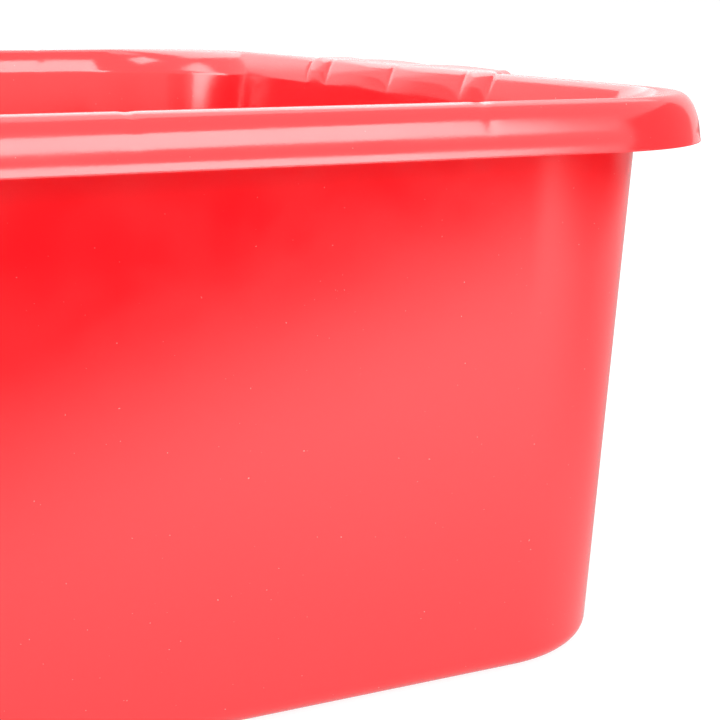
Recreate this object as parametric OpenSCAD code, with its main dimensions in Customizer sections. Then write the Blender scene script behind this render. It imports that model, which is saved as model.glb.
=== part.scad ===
// Open storage tub, moulded in one piece: drafted walls, a rounded floor edge,
// an arched rim that turns down into a skirt, a flared grip in each end of the rim,
// and short ribs under the arch. Millimetres, +Z up, origin on the ground below the
// middle of the tub, +X along its length.

/* [Body] */
// Length over the rim, not counting the grips
tub_l = 372; // [310:1:600]
// Width over the rim
tub_w = 280; // [230:1:420]
// Height from the ground to the top of the rim
tub_h = 110; // [60:1:240]
// Thickness of the wall and the rim
wall_t = 2; // [1.6:0.1:2.6]
// How far the outer wall leans in, for each millimetre down from the rim
wall_draft = 0.085; // [0.01:0.005:0.1]
// Outer radius of the wall's upright corners, just under the rim
wall_corner_r = 42.5; // [36:0.5:60]
// Outer radius of the same corners, down at the base
base_corner_r = 28.5; // [24:0.5:44]
// Outer radius between wall and base
base_r = 4; // [3:0.5:12]

/* [Base] */
// Thickness of the floor
floor_t = 2.2; // [1.6:0.1:4]
// Width of the flat ring that the tub stands on
foot_w = 5; // [4:0.5:8]
// Depth of the recessed panel inside that ring
base_recess = 0.8; // [0.4:0.1:1.4]
// Width of the sloping step between ring and panel
recess_step = 1.2; // [0.6:0.1:2]

/* [Rim] */
// Radius of the rim's corners, seen from above
rim_corner_r = 36.5; // [24:0.5:60]
// How far the rim stands out from the top of the outer wall
rim_over = 7; // [6.5:0.5:12]
// Depth of the rim from its top to the skirt's lower edge
rim_drop = 9; // [7:0.5:14]
// Height of the straight skirt
skirt_h = 2.2; // [1:0.1:4]
// How far the skirt leans out towards its lower edge
skirt_lean = 0.3; // [0.1:0.1:0.8]
// Distance from the skirt in to the middle of the rim's top
crown_in = 5.2; // [4:0.1:5.6]
// Width of the flat along the rim's top
crown_flat = 1; // [0.5:0.1:1.6]
// Depth of the crease, where the inner wall meets the arch, below the rim's top
crease_drop = 6.8; // [5:0.1:12]

/* [Grips] */
// How far each grip stands out from the rim
grip_out = 7.5; // [4:0.5:16]
// Length of each grip, between its outermost ribs
grip_l = 98; // [80:1:110]
// Length of the curve at each end of a grip
grip_blend = 12.5; // [10:0.5:24]

/* [Ribs] */
// Thickness of a rib where it meets the arch
rib_t = 1.8; // [1.2:0.1:2.4]
// Thickness of a rib at its lower edge
rib_tip_t = 1.2; // [0.8:0.1:1.8]
// Gap from the skirt's lower edge up to a rib's lower edge
rib_rise = 0.8; // [0.4:0.1:2]
// Number of ribs along each long side
side_ribs = 5; // [2:1:5]
// Distance between two of these ribs
side_rib_pitch = 62; // [30:1:62]

/* [Hidden] */

plastic = [0.9, 0.13, 0.13];

// Steps in each curve
corner_steps = 12;
blend_steps = 8;
arch_steps = 7;
under_steps = 5;
fillet_steps = 6;

// Heights above the ground
skirt_z = tub_h - rim_drop;
skirt_top_z = skirt_z + skirt_h;
crease_z = tub_h - crease_drop;
floor_z = base_recess + floor_t;

// Distances in from the skirt's lower edge
crown_outer = crown_in - crown_flat / 2;
crown_inner = crown_in + crown_flat / 2;
inner_r = base_r - wall_t;
function wall_in(z) = rim_over + (crease_z - z) * wall_draft;

// Radii of the outlines that the wall's corners, above and at the base, would have out
// at the skirt
wall_turn = wall_corner_r + rim_over;
base_turn = base_corner_r + wall_in(base_r);

// Height of the flat lower edge of a rib
rib_edge_h = 0.2;

// Angle round the arch's inner curve at which it starts from the crease
crease_angle = 40;

// A section's points are [distance in, height, share of the grip's reach, corner radius
// of the outline out at the skirt]. An arch lies depth_in inside the rim's outer face.
function outer_arch(depth_in, steps) = [
    for (k = [0:steps])
        let (a = 90 * k / steps)
            [
                crown_outer - (crown_outer - skirt_lean - depth_in) * sin(a),
                skirt_top_z + (tub_h - skirt_top_z - depth_in) * cos(a),
                1,
                rim_corner_r
            ]
];
function inner_arch(depth_in, steps) = [
    for (k = [0:steps])
        let (
            share = k / steps,
            a = crease_angle + (90 - crease_angle) * share,
            reach_in = rim_over + wall_t - depth_in - crown_inner,
            drop = crease_drop - depth_in
        )
            [
                crown_inner + reach_in * cos(a) / cos(crease_angle),
                tub_h - depth_in - drop * (1 - sin(a)) / (1 - sin(crease_angle)),
                0,
                wall_turn + (rim_corner_r - wall_turn) * share
            ]
];

// A quarter round from the floor up to the wall
function quarter(r, low_z, face_in) = [
    for (k = [0:fillet_steps])
        let (a = 90 * k / fillet_steps)
            [face_in + r * (1 - sin(a)), low_z + r * (1 - cos(a)), 0, base_turn]
];

function reversed(list) = [for (k = [len(list) - 1:-1:0]) list[k]];

// The section runs from the floor inside, up, over the rim and down to the base
foot_in = wall_in(base_r) + base_r;
section = concat(
    quarter(inner_r, floor_z, wall_in(floor_z + inner_r) + wall_t),
    inner_arch(0, arch_steps),
    outer_arch(0, arch_steps),
    [[0, skirt_z, 1, rim_corner_r], [wall_t, skirt_z, 1, rim_corner_r]],
    reversed(outer_arch(wall_t, under_steps)),
    reversed(inner_arch(wall_t, under_steps)),
    reversed(quarter(base_r, 0, wall_in(base_r))),
    [
        [foot_in + foot_w, 0, 0, base_turn],
        [foot_in + foot_w + recess_step, base_recess, 0, base_turn]
    ]
);

// How far the grip stands out at a place across the end of the tub
function smooth(t) = let (u = min(max(t, 0), 1)) u * u * (3 - 2 * u);
function grip_at(y) = grip_out * smooth((grip_l / 2 - abs(y)) / grip_blend);

// Places across an end at which a section stands
blend_ys = [for (k = [0:blend_steps]) grip_l / 2 - grip_blend * k / blend_steps];
end_ys = concat([for (y = blend_ys) -y], reversed(blend_ys));

// Stations round the tub: [side in X, side in Y, direction, place across, grip's reach]
function end_stations(x_side) = [
    for (y = end_ys) [x_side, 0, x_side > 0 ? 0 : 180, x_side * y, grip_at(y)]
];
function corner_stations(x_side, y_side, first) = [
    for (k = [0:corner_steps]) [x_side, y_side, first + 90 * k / corner_steps, 0, 0]
];
stations = concat(
    end_stations(1),
    corner_stations(1, 1, 0),
    corner_stations(-1, 1, 90),
    end_stations(-1),
    corner_stations(-1, -1, 180),
    corner_stations(1, -1, 270)
);

// Where a section's point p lies at a station s
function place(s, p) =
    let (out = p[3] - p[0] + s[4] * p[2])
        [
            s[0] * (tub_l / 2 - p[3]) + out * cos(s[2]),
            s[1] * (tub_w / 2 - p[3]) + s[3] + out * sin(s[2]),
            p[1]
        ];

// One skin round all the stations, closed by the floor and the base panel
module shell() {
    n = len(section);
    m = len(stations);
    polyhedron(
        points = [for (s = stations) for (p = section) place(s, p)],
        faces = concat(
            [[for (i = [m - 1:-1:0]) i * n]],
            [[for (i = [0:m - 1]) i * n + n - 1]],
            [
                for (i = [0:m - 1]) for (j = [0:n - 2])
                    let (a = i * n + j, b = (i + 1) % m * n + j)
                        each [[a, b + 1, a + 1], [a, b, b + 1]]
            ]
        )
    );
}

// A rib's upper edge runs in the middle of the arch's thickness, and its lower edge
// is a bar from the middle of the wall to the middle of the skirt
module rib(reach) {
    inner = inner_arch(wall_t / 2, under_steps);
    outer = outer_arch(wall_t / 2, under_steps);
    upper = [for (k = [1:under_steps]) inner[k], for (k = [0:under_steps - 1]) outer[k]];
    low_z = skirt_z + rib_rise;
    from_x = -wall_in(low_z) - wall_t / 2;
    to_x = reach - skirt_lean - wall_t / 2;
    hull() {
        rotate([90, 0, 0])
            linear_extrude(rib_t, center = true)
                polygon([for (p = upper) [reach * p[2] - p[0], p[1]]]);
        translate([from_x, -rib_tip_t / 2, low_z])
            cube([to_x - from_x, rib_tip_t, rib_edge_h]);
    }
}

// Ribs under both grips and along both long sides
module ribs() {
    grip_rib_ys = [0, grip_l / 2 - grip_blend, grip_l / 2];
    for (turn = [0, 180], side = [-1, 1], y = grip_rib_ys)
        if (y > 0 || side > 0)
            rotate(turn)
                translate([tub_l / 2, side * y, 0])
                    rib(grip_at(y));
    for (turn = [90, 270], k = [0:side_ribs - 1])
        rotate(turn)
            translate([tub_w / 2, (k - (side_ribs - 1) / 2) * side_rib_pitch, 0])
                rib(0);
}

module tub() {
    color(plastic)
        union() {
            shell();
            ribs();
        }
}

tub();
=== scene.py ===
import math

import bmesh
import bpy
from mathutils import Matrix, Vector


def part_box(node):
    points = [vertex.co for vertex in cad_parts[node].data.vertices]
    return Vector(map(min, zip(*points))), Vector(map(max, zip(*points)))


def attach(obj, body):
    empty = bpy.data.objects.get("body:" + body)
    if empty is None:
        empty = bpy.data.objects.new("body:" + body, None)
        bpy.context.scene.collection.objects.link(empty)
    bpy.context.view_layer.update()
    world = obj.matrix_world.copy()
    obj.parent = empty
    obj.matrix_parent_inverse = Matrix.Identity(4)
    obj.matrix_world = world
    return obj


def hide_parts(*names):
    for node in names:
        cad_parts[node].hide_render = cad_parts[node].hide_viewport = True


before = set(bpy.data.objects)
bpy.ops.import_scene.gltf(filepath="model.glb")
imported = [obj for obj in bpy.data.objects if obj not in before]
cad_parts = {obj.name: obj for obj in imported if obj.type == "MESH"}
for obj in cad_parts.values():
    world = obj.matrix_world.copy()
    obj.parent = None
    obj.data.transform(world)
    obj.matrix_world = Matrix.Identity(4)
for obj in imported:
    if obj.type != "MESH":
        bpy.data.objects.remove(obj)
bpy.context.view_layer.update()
tub_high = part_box("tub")[1]

# Sizes of the moulding, in metres, as its solid has them
GRIP_OUT = 0.0075
GRIP_L = 0.098
GRIP_BLEND = 0.0125
WALL_T = 0.002
WALL_DRAFT = 0.085
WALL_CORNER_R = 0.0425
BASE_CORNER_R = 0.0285
BASE_R = 0.004
FLOOR_T = 0.0022
FOOT_W = 0.005
BASE_RECESS = 0.0008
RECESS_STEP = 0.0012
RIM_CORNER_R = 0.0365
RIM_OVER = 0.007
RIM_DROP = 0.009
SKIRT_H = 0.0022
SKIRT_LEAN = 0.0003
CROWN_IN = 0.0052
CROWN_FLAT = 0.001
CREASE_DROP = 0.0068
CREASE_ANGLE = math.radians(40)
RIB_T = 0.0018
RIB_TIP_T = 0.0012
RIB_RISE = 0.0008
RIB_EDGE_H = 0.0002
SIDE_RIBS = 5
SIDE_RIB_PITCH = 0.062

# Overall sizes come from the frame
HALF_L = tub_high.x - GRIP_OUT
HALF_W = tub_high.y
TOP_Z = tub_high.z

# Heights, and distances in from the skirt's lower edge
SKIRT_Z = TOP_Z - RIM_DROP
SKIRT_TOP_Z = SKIRT_Z + SKIRT_H
CREASE_Z = TOP_Z - CREASE_DROP
FLOOR_Z = BASE_RECESS + FLOOR_T
CROWN_OUTER = CROWN_IN - CROWN_FLAT / 2
CROWN_INNER = CROWN_IN + CROWN_FLAT / 2
INNER_R = BASE_R - WALL_T

# Where the ribs stand, along a grip and along a long side
SHOULDER = GRIP_L / 2 - GRIP_BLEND
GRIP_RIBS = [-GRIP_L / 2, -SHOULDER, 0, SHOULDER, GRIP_L / 2]
LONG_RIBS = [(k - (SIDE_RIBS - 1) / 2) * SIDE_RIB_PITCH for k in range(SIDE_RIBS)]

# Small rounds that a mould leaves on the edges
EDGE_R = 0.0004
CREASE_R = 0.0007
FOOT_R = 0.0005

# Points of a small round, as shares of it, and how much of a side it may take
ROUND_POINTS = (0, 0.12, 0.3, 0.5, 0.7, 0.88, 1)
ROUND_REACH = 0.45

# Bead of flash along the skirt's lower edge, where the mould parts. Its neck is
# the point above it where the skirt is plain again.
BEAD_R = 0.00014
BEAD_PROUD = 0.00008
BEAD_ANGLES = (50, 25, 0, -25, -50, -90)
BEAD_NECK_IN = 0.00004
BEAD_NECK_H = 2.6 * BEAD_R

# How finely it is built: steps in each curve, places along each side and over a
# rib, rings that fill floor and base, and the angle past which an edge stays sharp
ARCH_STEPS = 18
UNDER_STEPS = 8
FILLET_STEPS = 10
CORNER_STEPS = 40
END_STEP = 0.002
LONG_STEP = 0.006
RIB_STEP = 0.0005
RIB_STEPS = 9
CLOSEST_STEP = 0.0003
FILL_RINGS = 6
FLOOR_RING_R = 0.01
SHARP_ANGLE = math.radians(35)

# Sink marks over the ribs, and the swell of the grip between them. Both come in
# over the first third of the inner arch and fade out down the outer one.
SINK_DEPTH = 0.00014
SINK_W = 0.001
PILLOW_H = 0.0004
RELIEF_RISE = 3

# Mark that the mould's gate leaves in the middle of the base: a dish, in shares of
# its radius and depth from its rim inwards, and the gate's stub in it, in shares of
# the stub's radius and height from its foot to its middle
GATE_DISH_R = 0.006
GATE_DISH_DEPTH = 0.0004
GATE_DISH = [(1, 0), (0.96, 0.2), (0.85, 0.8), (0.7, 1)]
GATE_R = 0.0014
GATE_H = 0.0005
GATE_STUB = [(1.2, 0), (1, 0.08), (0.9, 0.9), (0.7, 1), (0, 0.95)]

# Colours of the plastic. A noise has a scale per metre, a detail and, if it isn't
# the usual half, a roughness. Its edges are the values between which it comes in.
RED = (0.97, 0.003, 0.011)
RED_DEEP = (0.93, 0.002, 0.009)
DUST = (0.95, 0.45, 0.42)
DUST_SHARE = 0.5
CLOUD_NOISE = (9, 3)
CLOUD_EDGES = (0.35, 0.7)
SPECK_NOISE = (1500, 1)
SPECK_EDGES = (0.78, 0.84)

# Gloss and depth of the plastic
MOTTLE_NOISE = (60, 4, 0.6)
MOTTLE_EDGES = (0.3, 0.7)
MOTTLE = 0.03
GRAIN_NOISE = (1400, 2)
GRAIN_STRENGTH = 0.12
GRAIN_DEPTH = 0.00005
WALL_ROUGHNESS = 0.16
RIM_ROUGHNESS = 0.145
RIM_GLOSS_FADE = 0.0005
PLASTIC_IOR = 1.6
PLASTIC_SPECULAR = 1
DEPTH_SHARE = 0.35
DEPTH_COLOUR = (1, 0.1, 0.07)
DEPTH_REACH = 0.006

# The floor: its bounce for the lamps, its shadow and glow as a background, and
# a gap below the tub's foot so that no two faces lie in one plane
FLOOR_HALF = 30
FLOOR_BOUNCE = (0.95, 0.93, 0.92)
FLOOR_SHADOW = (0.3, 0.3, 0.3)
FLOOR_GLOW = 0.86
FLOOR_GAP = 0.0002

# Strength of the world as light and as background
WORLD_LIGHT = 0.92
WORLD_WHITE = 1

# The table in the gloss: how far it runs, its near corner, its turn, and how its
# light fades over its two near edges, comes back far behind them, and falls off to
# the back and to the left. A fade runs between two places on the table's own axes,
# which start at its near corner.
TABLE_HALF = 4
TABLE_CORNER = (0.43, -0.455, 0.0005)
TABLE_TURN = -29.1
TABLE_FRONT_FADE = (-0.055, 0.06)
TABLE_SIDE_FADE = (-0.12, 0.1)
TABLE_LEFT_FADE = (-0.62, -0.28)
TABLE_LEFT_GLOW = 0.6
TABLE_FAR_FADE = (0.42, 0.7)
TABLE_FAR_GLOW = 0.6
TABLE_BODY_FADE = (0.03, 0.27)
TABLE_GLOWS = (1.18, 0.58)

# Cards in the gloss: name, start and end along the ground, height, grey
DARK_CARDS = [
    ("low_front_card", (-1.7, -1.0), (0.8, -1.0), 0.22, 0.7),
    ("low_left_card", (-1.7, -0.35), (-1.7, -1.0), 0.28, 0.45),
    ("right_card", (0.89, -0.8), (1.09, 0.21), 0.62, 0.4),
    ("back_card", (-0.276, 0.89), (-0.61, 0.62), 0.28, 0.5),
]

# Softboxes: name, place, the point each faces, width and height, watts
SOFTBOXES = [
    ("front_softbox", (0.39, -1.13, 0.69), (0.06, -0.14, 0.1), (0.87, 0.46), 4.2),
    ("back_softbox", (0.335, 0.85, 0.97), (0.285, -0.05, 0.1), (1.13, 0.92), 7.1),
    ("back_low_softbox", (0.3, 1.15, 0.45), (0.15, -0.05, 0.1), (1.2, 0.35), 1.1),
    ("back_right_softbox", (0.6, 0.22, 1.08), (0.1, -0.14, 0.1), (0.5, 1.1), 1.8),
    ("left_back_softbox", (-0.63, 0.4, 0.84), (0.17, 0.12, 0.1), (0.32, 0.6), 1.6),
    ("top_softbox", (-0.1, -0.12, 1.3), (-0.1, -0.12, 0), (0.24, 0.4), 0.9),
    ("left_softbox", (-1.12, 0.4, 0.33), (0.1, 0.12, 0.1), (0.9, 0.6), 5.4),
]

# The camera: place, then yaw, pitch and roll in degrees, then lens and sensor in mm
CAMERA_PLACE = (-0.01768, -0.37179, 0.12746)
CAMERA_ANGLES = (26.784, -12.714, 0.384)
CAMERA_LENS = 80.93
CAMERA_SENSOR = 36
CAMERA_NEAREST = 0.01


def wall_in(z):
    """How far in the outer wall stands at a height."""
    return RIM_OVER + (CREASE_Z - z) * WALL_DRAFT


# Radii of the outlines that the wall's corners would have out at the skirt
WALL_TURN = WALL_CORNER_R + RIM_OVER
BASE_TURN = BASE_CORNER_R + wall_in(BASE_R)


# A section's points are (distance in, height, share of the grip's reach,
# corner radius of the outline out at the skirt, share of the sink marks)
def outer_arch(depth_in, steps, relief):
    """From the crown down to the skirt, which it meets at the skirt's own slope."""
    across = CROWN_OUTER - SKIRT_LEAN - depth_in
    down = TOP_Z - SKIRT_TOP_Z - depth_in
    lean = down * SKIRT_LEAN / SKIRT_H
    low = lean / (across - lean)
    last = math.acos(low)
    points = []
    for k in range(steps + 1):
        a = last * k / steps
        reach_in = CROWN_OUTER - across * math.sin(a) / math.sin(last)
        rise = down * (math.cos(a) - low) / (1 - low)
        mark = relief * (1 - k / steps)
        points.append(Vector((reach_in, SKIRT_TOP_Z + rise, 1, RIM_CORNER_R, mark)))
    return points


def inner_arch(depth_in, steps, relief):
    """From the crease up to the crown."""
    reach_in = RIM_OVER + WALL_T - depth_in - CROWN_INNER
    drop = CREASE_DROP - depth_in
    points = []
    for k in range(steps + 1):
        share = k / steps
        a = CREASE_ANGLE + (math.pi / 2 - CREASE_ANGLE) * share
        out = CROWN_INNER + reach_in * math.cos(a) / math.cos(CREASE_ANGLE)
        fall = drop * (1 - math.sin(a)) / (1 - math.sin(CREASE_ANGLE))
        turn = WALL_TURN + (RIM_CORNER_R - WALL_TURN) * share
        rise = TOP_Z - depth_in - fall
        points.append(Vector((out, rise, 0, turn, relief * min(1, RELIEF_RISE * share))))
    return points


def quarter(r, low_z, face_in):
    """The round between a floor at low_z and an upright face."""
    points = []
    for k in range(FILLET_STEPS + 1):
        a = math.pi / 2 * k / FILLET_STEPS
        x = face_in + r * (1 - math.sin(a))
        points.append(Vector((x, low_z + r * (1 - math.cos(a)), 0, BASE_TURN, 0)))
    return points


def softened(points, rounds):
    """The points with a small round in place of each corner named in rounds."""
    out = []
    for k, point in enumerate(points):
        if k not in rounds:
            out.append(point)
            continue
        back, ahead = points[k - 1] - point, points[k + 1] - point
        back_share = min(ROUND_REACH, rounds[k] / Vector(back[:2]).length)
        ahead_share = min(ROUND_REACH, rounds[k] / Vector(ahead[:2]).length)
        start, end = point + back * back_share, point + ahead * ahead_share
        for t in ROUND_POINTS:
            out.append(start.lerp(point, t).lerp(point.lerp(end, t), t))
    return out


def bead():
    """The skirt's lower edge, with its bead."""
    middle_in, middle_z = BEAD_R - BEAD_PROUD, SKIRT_Z + BEAD_R
    points = [Vector((BEAD_NECK_IN, SKIRT_Z + BEAD_NECK_H, 1, RIM_CORNER_R, 0))]
    for degrees in BEAD_ANGLES:
        a = math.radians(degrees)
        x, z = middle_in - BEAD_R * math.cos(a), middle_z + BEAD_R * math.sin(a)
        points.append(Vector((x, z, 1, RIM_CORNER_R, 0)))
    return points


def section():
    """The moulding's section, from the floor inside over the rim to the base."""
    foot_in = wall_in(BASE_R) + BASE_R
    inside = quarter(INNER_R, FLOOR_Z, wall_in(FLOOR_Z + INNER_R) + WALL_T)
    top = inner_arch(0, ARCH_STEPS, 1) + outer_arch(0, ARCH_STEPS, 1)
    skirt = bead() + [Vector((WALL_T, SKIRT_Z, 1, RIM_CORNER_R, 0))]
    under = outer_arch(WALL_T, UNDER_STEPS, 0)[::-1]
    under += inner_arch(WALL_T, UNDER_STEPS, 0)[::-1]
    outside = quarter(BASE_R, 0, wall_in(BASE_R))[::-1]
    foot = [
        Vector((foot_in + FOOT_W, 0, 0, BASE_TURN, 0)),
        Vector((foot_in + FOOT_W + RECESS_STEP, BASE_RECESS, 0, BASE_TURN, 0)),
    ]
    panel = Vector((foot_in + FOOT_W + 2 * RECESS_STEP, BASE_RECESS, 0, BASE_TURN, 0))
    points = inside + top + skirt + under + outside + foot + [panel]
    crease = len(inside)
    edge = crease + len(top) + len(skirt) - 1
    under_crease = edge + len(under)
    step = len(points) - 3
    rounds = {
        crease: CREASE_R,
        edge: EDGE_R,
        under_crease: CREASE_R,
        step: FOOT_R,
        step + 1: FOOT_R,
    }
    return softened(points, rounds)


def section_normals(points):
    """The way out of the plastic at each point, as (outwards, up)."""
    normals = []
    for k in range(len(points)):
        ahead = points[min(k + 1, len(points) - 1)]
        back = points[max(k - 1, 0)]
        run = Vector((back.x - ahead.x, ahead.y - back.y))
        normals.append(Vector((-run.y, run.x)).normalized())
    return normals


def smooth(t):
    """Eases from 0 to 1."""
    u = min(max(t, 0), 1)
    return u * u * (3 - 2 * u)


def grip_at(y):
    """How far a grip stands out at a place along an end."""
    return GRIP_OUT * smooth((GRIP_L / 2 - abs(y)) / GRIP_BLEND)


def sink(place, ribs):
    """How deep the skin has sunk over the ribs at a place along a side."""
    return SINK_DEPTH * sum(math.exp(-(((place - r) / SINK_W) ** 2)) for r in ribs)


def pillow(y):
    """How far the grip swells between two of its ribs."""
    for low, high in zip(GRIP_RIBS, GRIP_RIBS[1:]):
        if low < y < high:
            t = (y - low) / (high - low)
            return PILLOW_H * 4 * t * (1 - t)
    return 0


def places(half, ribs, coarse):
    """Places along a straight side: coarse steps, and fine ones over its ribs."""
    found = [-half, half]
    for rib in ribs:
        for k in range(-RIB_STEPS, RIB_STEPS + 1):
            found.append(rib + k * RIB_STEP)
    steps = math.ceil(2 * half / coarse)
    found += [-half + 2 * half * k / steps for k in range(1, steps)]
    kept = []
    for place in sorted(p for p in found if -half <= p <= half):
        if not kept or place - kept[-1] > CLOSEST_STEP:
            kept.append(place)
    return kept


# Stations round the tub: (side in X, side in Y, direction, along in X, along in Y,
# the grip's reach, relief)
def stations():
    """All stations, corner by corner, each followed by the side after it."""
    ends = places(HALF_W - WALL_TURN, GRIP_RIBS, END_STEP)
    longs = places(HALF_L - WALL_TURN, LONG_RIBS, LONG_STEP)
    found = []
    for x_side, y_side, first in ((1, 1, 0), (-1, 1, 90), (-1, -1, 180), (1, -1, 270)):
        for k in range(CORNER_STEPS + 1):
            angle = math.radians(first + 90 * k / CORNER_STEPS)
            found.append((x_side, y_side, angle, 0, 0, 0, 0))
        next_angle = math.radians(first + 90)
        if first in (0, 180):
            for p in longs[1:-1]:
                relief = -sink(p, LONG_RIBS)
                found.append((0, y_side, next_angle, -p * y_side, 0, 0, relief))
        else:
            for p in ends[1:-1]:
                relief = pillow(p) - sink(p, GRIP_RIBS)
                found.append((x_side, 0, next_angle, 0, p * x_side, grip_at(p), relief))
    return found


def placed(station, point, normal):
    """Where a section's point lies at a station, with its relief."""
    x_side, y_side, angle, along_x, along_y, reach, relief = station
    depth_in, z, share, turn, relief_share = point
    raised = relief * relief_share
    out = turn - depth_in + reach * share + raised * normal.x
    return Vector(
        (
            x_side * (HALF_L - turn) + along_x + out * math.cos(angle),
            y_side * (HALF_W - turn) + along_y + out * math.sin(angle),
            z + raised * normal.y,
        )
    )


def bridge(bm, ring, next_ring):
    """A closed band of faces between two rings."""
    for k in range(len(ring)):
        ahead = (k + 1) % len(ring)
        bm.faces.new((ring[k], ring[ahead], next_ring[ahead], next_ring[k]))


def fill(bm, outline, profile):
    """Fills an outline with rings that turn into circles, then follow a profile of
    (radius, height) to the middle."""
    ring = outline
    circle_r, circle_z = profile[0]
    rings = []
    for k in range(1, FILL_RINGS + 1):
        t = k / FILL_RINGS
        places_in = []
        for vert in outline:
            flat = Vector((vert.co.x, vert.co.y, 0))
            places_in.append(flat.lerp(flat.normalized() * circle_r, t))
        rings.append((places_in, circle_z))
    directions = [Vector((v.co.x, v.co.y, 0)).normalized() for v in outline]
    for r, z in profile[1:-1]:
        rings.append(([d * r for d in directions], z))
    for places_in, z in rings:
        next_ring = [bm.verts.new((p.x, p.y, z)) for p in places_in]
        bridge(bm, ring, next_ring)
        ring = next_ring
    middle = bm.verts.new((0, 0, profile[-1][1]))
    for k in range(len(ring)):
        bm.faces.new((ring[k], ring[(k + 1) % len(ring)], middle))


def gate_profile():
    """The gate's mark as (radius, height), from the dish's rim to the middle."""
    dish = [(GATE_DISH_R * r, BASE_RECESS + GATE_DISH_DEPTH * d) for r, d in GATE_DISH]
    stub_z = BASE_RECESS + GATE_DISH_DEPTH
    return dish + [(GATE_R * r, stub_z - GATE_H * h) for r, h in GATE_STUB]


def shell_mesh():
    """The whole moulding but for its ribs, as one closed skin."""
    points = section()
    normals = section_normals(points)
    bm = bmesh.new()
    columns = []
    for station in stations():
        column = [placed(station, p, n) for p, n in zip(points, normals)]
        columns.append([bm.verts.new(v) for v in column])
    rings = [[column[k] for column in columns] for k in range(len(points))]
    for ring, next_ring in zip(rings, rings[1:]):
        bridge(bm, ring, next_ring)
    fill(bm, rings[0], [(FLOOR_RING_R, FLOOR_Z), (0, FLOOR_Z)])
    fill(bm, rings[-1], gate_profile())
    bmesh.ops.recalc_face_normals(bm, faces=bm.faces)
    return finished(bm, "shell")


def finished(bm, name):
    """The mesh that a bmesh holds, which ends the bmesh."""
    mesh = bpy.data.meshes.new(name)
    bm.to_mesh(mesh)
    bm.free()
    return mesh


def rib_outline(reach):
    """A rib's outline in the plane across the rim: (distance outwards, height)."""
    inner = inner_arch(WALL_T / 2, UNDER_STEPS, 0)[1:]
    outer = outer_arch(WALL_T / 2, UNDER_STEPS, 0)[:-1]
    low_z = SKIRT_Z + RIB_RISE
    from_x = -wall_in(low_z) - WALL_T / 2
    to_x = reach - SKIRT_LEAN - WALL_T / 2
    low = [(to_x, low_z + RIB_EDGE_H), (to_x, low_z)]
    low += [(from_x, low_z), (from_x, low_z + RIB_EDGE_H)]
    return [(reach * p[2] - p[0], p[1]) for p in inner + outer] + low


def add_rib(bm, reach, place_of_rib):
    """One closed rib, thicker where it meets the arch."""
    outline = rib_outline(reach)
    low_z = SKIRT_Z + RIB_RISE
    sides = []
    for side in (-1, 1):
        verts = []
        for x, z in outline:
            up = min(max((z - low_z) / (TOP_Z - low_z), 0), 1)
            half_t = (RIB_TIP_T + (RIB_T - RIB_TIP_T) * up) / 2
            verts.append(bm.verts.new(place_of_rib @ Vector((x, side * half_t, z))))
        sides.append(verts)
    bridge(bm, sides[0], sides[1])
    bm.faces.new(sides[0][::-1])
    bm.faces.new(sides[1])


def ribs_mesh():
    """All ribs, under both grips and both long sides."""
    bm = bmesh.new()
    for turn in (0, math.pi):
        for y in GRIP_RIBS:
            at = Matrix.Rotation(turn, 4, "Z") @ Matrix.Translation((HALF_L, y, 0))
            add_rib(bm, grip_at(y), at)
    for turn in (math.pi / 2, -math.pi / 2):
        for x in LONG_RIBS:
            at = Matrix.Rotation(turn, 4, "Z") @ Matrix.Translation((HALF_W, x, 0))
            add_rib(bm, 0, at)
    bmesh.ops.recalc_face_normals(bm, faces=bm.faces)
    return finished(bm, "ribs")


def moulding():
    """Shell and ribs as one closed mesh."""
    tub = bpy.data.objects.new("tub_moulding", shell_mesh())
    ribs = bpy.data.objects.new("ribs", ribs_mesh())
    for piece in (tub, ribs):
        bpy.context.scene.collection.objects.link(piece)
    joined = tub.modifiers.new("joined", "BOOLEAN")
    joined.operation = "UNION"
    joined.solver = "MANIFOLD"
    joined.object = ribs
    bpy.context.view_layer.update()
    shown = tub.evaluated_get(bpy.context.evaluated_depsgraph_get())
    mesh = bpy.data.meshes.new_from_object(shown)
    tub.modifiers.clear()
    tub.data = mesh
    bpy.data.objects.remove(ribs)
    mesh.shade_smooth()
    mesh.set_sharp_from_angle(angle=SHARP_ANGLE)
    return tub


# Materials


def math_node(tree, operation, first, second):
    node = tree.nodes.new("ShaderNodeMath")
    node.operation = operation
    for socket, value in zip(node.inputs, (first, second)):
        if isinstance(value, bpy.types.NodeSocket):
            tree.links.new(value, socket)
        else:
            socket.default_value = value
    return node.outputs[0]


def noise(tree, where, scale, detail, roughness=0.5):
    node = tree.nodes.new("ShaderNodeTexNoise")
    node.inputs["Scale"].default_value = scale
    node.inputs["Detail"].default_value = detail
    node.inputs["Roughness"].default_value = roughness
    tree.links.new(where, node.inputs["Vector"])
    return node.outputs["Fac"]


def ramp(tree, value, low, high, low_out=0.0, high_out=1.0):
    node = tree.nodes.new("ShaderNodeMapRange")
    node.interpolation_type = "SMOOTHSTEP"
    node.inputs["From Min"].default_value = low
    node.inputs["From Max"].default_value = high
    node.inputs["To Min"].default_value = low_out
    node.inputs["To Max"].default_value = high_out
    tree.links.new(value, node.inputs["Value"])
    return node.outputs["Result"]


def mix_colour(tree, factor, first, second):
    node = tree.nodes.new("ShaderNodeMix")
    node.data_type = "RGBA"
    tree.links.new(factor, node.inputs["Factor"])
    for name, value in (("A", first), ("B", second)):
        socket = [s for s in node.inputs if s.name == name and s.type == "RGBA"][0]
        if isinstance(value, bpy.types.NodeSocket):
            tree.links.new(value, socket)
        else:
            socket.default_value = (*value, 1)
    return [s for s in node.outputs if s.type == "RGBA"][0]


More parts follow.
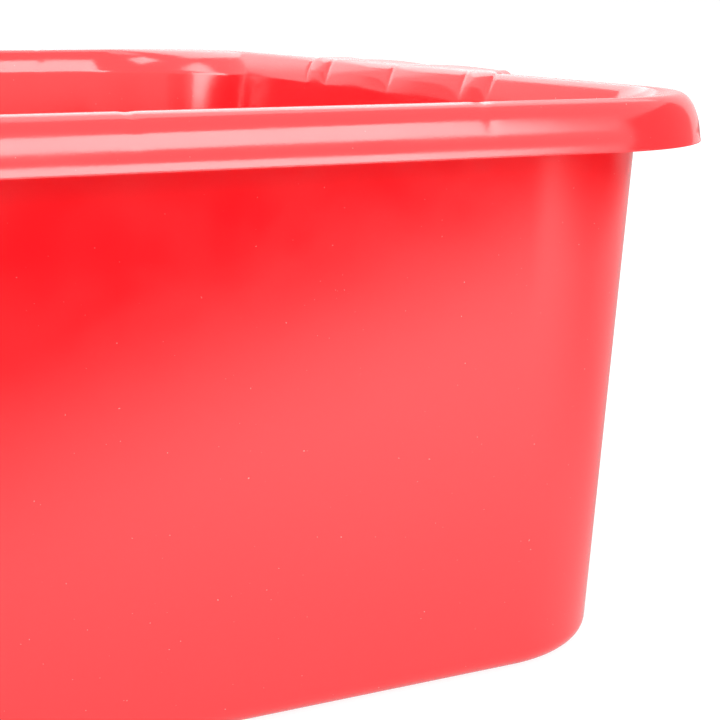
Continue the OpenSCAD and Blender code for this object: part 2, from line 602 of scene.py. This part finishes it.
def plastic():
    """Red plastic: faint clouds, specks of dust, satin walls and a glossier rim."""
    material = bpy.data.materials.new("tub_plastic")
    material.use_nodes = True
    tree = material.node_tree
    shader = tree.nodes["Principled BSDF"]
    where = tree.nodes.new("ShaderNodeTexCoord").outputs["Object"]
    split = tree.nodes.new("ShaderNodeSeparateXYZ")
    tree.links.new(where, split.inputs[0])
    height = split.outputs["Z"]

    cloud = ramp(tree, noise(tree, where, *CLOUD_NOISE), *CLOUD_EDGES)
    colour = mix_colour(tree, cloud, RED, RED_DEEP)
    specks = ramp(tree, noise(tree, where, *SPECK_NOISE), *SPECK_EDGES, 0, DUST_SHARE)
    colour = mix_colour(tree, specks, colour, DUST)
    tree.links.new(colour, shader.inputs["Base Color"])

    on_rim = ramp(tree, height, SKIRT_Z - RIM_GLOSS_FADE, SKIRT_Z + RIM_GLOSS_FADE)
    patches = noise(tree, where, *MOTTLE_NOISE)
    mottle = ramp(tree, patches, *MOTTLE_EDGES, -MOTTLE, MOTTLE)
    base = ramp(tree, on_rim, 0, 1, WALL_ROUGHNESS, RIM_ROUGHNESS)
    rough = math_node(tree, "ADD", base, mottle)
    tree.links.new(rough, shader.inputs["Roughness"])

    grain = noise(tree, where, *GRAIN_NOISE)
    bump = tree.nodes.new("ShaderNodeBump")
    bump.inputs["Strength"].default_value = GRAIN_STRENGTH
    bump.inputs["Distance"].default_value = GRAIN_DEPTH
    tree.links.new(grain, bump.inputs["Height"])
    tree.links.new(bump.outputs["Normal"], shader.inputs["Normal"])
    shader.inputs["IOR"].default_value = PLASTIC_IOR
    shader.inputs["Specular IOR Level"].default_value = PLASTIC_SPECULAR
    shader.inputs["Subsurface Weight"].default_value = DEPTH_SHARE
    shader.inputs["Subsurface Radius"].default_value = DEPTH_COLOUR
    shader.inputs["Subsurface Scale"].default_value = DEPTH_REACH
    return material


# The studio


def empty_material(name):
    """A material with nothing but its output, with its tree and that output."""
    material = bpy.data.materials.new(name)
    material.use_nodes = True
    tree = material.node_tree
    tree.nodes.clear()
    return material, tree, tree.nodes.new("ShaderNodeOutputMaterial")


def floor_material():
    """Pale floor: lit by the lamps, and near white where it is the background."""
    material, tree, output = empty_material("floor")
    bounce = tree.nodes.new("ShaderNodeBsdfDiffuse")
    bounce.inputs["Color"].default_value = (*FLOOR_BOUNCE, 1)
    shadow = tree.nodes.new("ShaderNodeBsdfDiffuse")
    shadow.inputs["Color"].default_value = (*FLOOR_SHADOW, 1)
    glow = tree.nodes.new("ShaderNodeEmission")
    glow.inputs["Strength"].default_value = FLOOR_GLOW
    both = tree.nodes.new("ShaderNodeAddShader")
    mix = tree.nodes.new("ShaderNodeMixShader")
    tree.links.new(shadow.outputs[0], both.inputs[0])
    tree.links.new(glow.outputs[0], both.inputs[1])
    tree.links.new(background_rays(tree), mix.inputs[0])
    tree.links.new(bounce.outputs[0], mix.inputs[1])
    tree.links.new(both.outputs[0], mix.inputs[2])
    tree.links.new(mix.outputs[0], output.inputs["Surface"])
    return material


def grey_material(name, grey):
    """An even grey that needs no light."""
    material, tree, output = empty_material(name)
    glow = tree.nodes.new("ShaderNodeEmission")
    glow.inputs["Color"].default_value = (grey, grey, grey, 1)
    tree.links.new(glow.outputs[0], output.inputs["Surface"])
    return material


def background_rays(tree):
    """1 for rays that see the background: from the camera, or off gloss or glass."""
    path = tree.nodes.new("ShaderNodeLightPath")
    seen = path.outputs["Is Camera Ray"]
    for name in ("Is Glossy Ray", "Is Transmission Ray"):
        seen = math_node(tree, "MAXIMUM", seen, path.outputs[name])
    return seen


def studio_world():
    """Even light from all round, and pure white where it is the background."""
    world = bpy.data.worlds.new("studio")
    world.use_nodes = True
    tree = world.node_tree
    shader = tree.nodes["Background"]
    shader.inputs["Color"].default_value = (1, 1, 1, 1)
    strength = ramp(tree, background_rays(tree), 0, 1, WORLD_LIGHT, WORLD_WHITE)
    tree.links.new(strength, shader.inputs["Strength"])
    bpy.context.scene.world = world


def studio_floor():
    """One wide plane under the tub."""
    bm = bmesh.new()
    bmesh.ops.create_grid(bm, x_segments=1, y_segments=1, size=FLOOR_HALF)
    floor = bpy.data.objects.new("floor", finished(bm, "floor"))
    floor.location.z = -FLOOR_GAP
    bpy.context.scene.collection.objects.link(floor)
    floor.data.materials.append(floor_material())


def in_gloss_only(name, corners, material):
    """A four-sided card that shows only in the gloss of the plastic."""
    bm = bmesh.new()
    bm.faces.new([bm.verts.new(c) for c in corners])
    card = bpy.data.objects.new(name, finished(bm, name))
    bpy.context.scene.collection.objects.link(card)
    card.data.materials.append(material)
    card.visible_camera = False
    card.visible_diffuse = False
    card.visible_transmission = False
    card.visible_shadow = False
    return card


def table_material():
    """The lit table, brightest along its front and dimmer to the back and the
    left, and dark past its two near edges but for its far side."""
    material, tree, output = empty_material("table_in_gloss")
    glow = tree.nodes.new("ShaderNodeEmission")
    where = tree.nodes.new("ShaderNodeTexCoord").outputs["Object"]
    split = tree.nodes.new("ShaderNodeSeparateXYZ")
    tree.links.new(where, split.inputs[0])
    from_front = ramp(tree, split.outputs["Y"], *TABLE_FRONT_FADE)
    from_side = ramp(tree, split.outputs["X"], *TABLE_SIDE_FADE, 1, 0)
    far = ramp(tree, split.outputs["Y"], *TABLE_FAR_FADE, 0, TABLE_FAR_GLOW)
    across = math_node(tree, "MAXIMUM", from_side, far)
    body = ramp(tree, split.outputs["Y"], *TABLE_BODY_FADE, *TABLE_GLOWS)
    lit = math_node(tree, "MULTIPLY", from_front, across)
    left = ramp(tree, split.outputs["X"], *TABLE_LEFT_FADE, TABLE_LEFT_GLOW, 1)
    lit_body = math_node(tree, "MULTIPLY", body, left)
    strength = math_node(tree, "MULTIPLY", lit, lit_body)
    tree.links.new(strength, glow.inputs["Strength"])
    tree.links.new(glow.outputs[0], output.inputs["Surface"])
    return material


def table_in_gloss():
    """The table top as the plastic reflects it: its near corner is the origin."""
    half = TABLE_HALF
    corners = [(-half, -half, 0), (half, -half, 0), (half, half, 0), (-half, half, 0)]
    card = in_gloss_only("table_in_gloss", corners, table_material())
    turn = Matrix.Rotation(math.radians(TABLE_TURN), 4, "Z")
    card.matrix_world = Matrix.Translation(TABLE_CORNER) @ turn


def dark_card(name, start, end, height, grey):
    """An upright dark card, from start to end along the ground."""
    corners = [(*start, 0), (*end, 0), (*end, height), (*start, height)]
    in_gloss_only(name, corners, grey_material(name, grey))


def softbox(name, place, target, size, power):
    """A soft lamp that faces its target."""
    light = bpy.data.lights.new(name, "AREA")
    light.shape = "RECTANGLE"
    light.size, light.size_y = size
    light.energy = power
    lamp = bpy.data.objects.new(name, light)
    lamp.location = place
    aim = Vector(target) - Vector(place)
    lamp.rotation_euler = aim.to_track_quat("-Z", "Y").to_euler()
    bpy.context.scene.collection.objects.link(lamp)


def camera():
    """Close to the tub, over its front, towards its right end."""
    data = bpy.data.cameras.new("camera")
    data.sensor_width = CAMERA_SENSOR
    data.lens = CAMERA_LENS
    data.clip_start = CAMERA_NEAREST
    eye = bpy.data.objects.new("camera", data)
    yaw, pitch, roll = (math.radians(a) for a in CAMERA_ANGLES)
    turn = Matrix.Rotation(-yaw, 4, "Z") @ Matrix.Rotation(math.pi / 2 + pitch, 4, "X")
    turn = turn @ Matrix.Rotation(roll, 4, "Z")
    eye.matrix_world = Matrix.Translation(CAMERA_PLACE) @ turn
    bpy.context.scene.collection.objects.link(eye)
    bpy.context.scene.camera = eye


tub = moulding()
tub.data.materials.clear()
tub.data.materials.append(plastic())
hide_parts("tub")
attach(tub, "root")

studio_floor()
table_in_gloss()
for card in DARK_CARDS:
    dark_card(*card)
studio_world()
for lamp in SOFTBOXES:
    softbox(*lamp)
camera()

bpy.context.scene.view_settings.view_transform = "Standard"
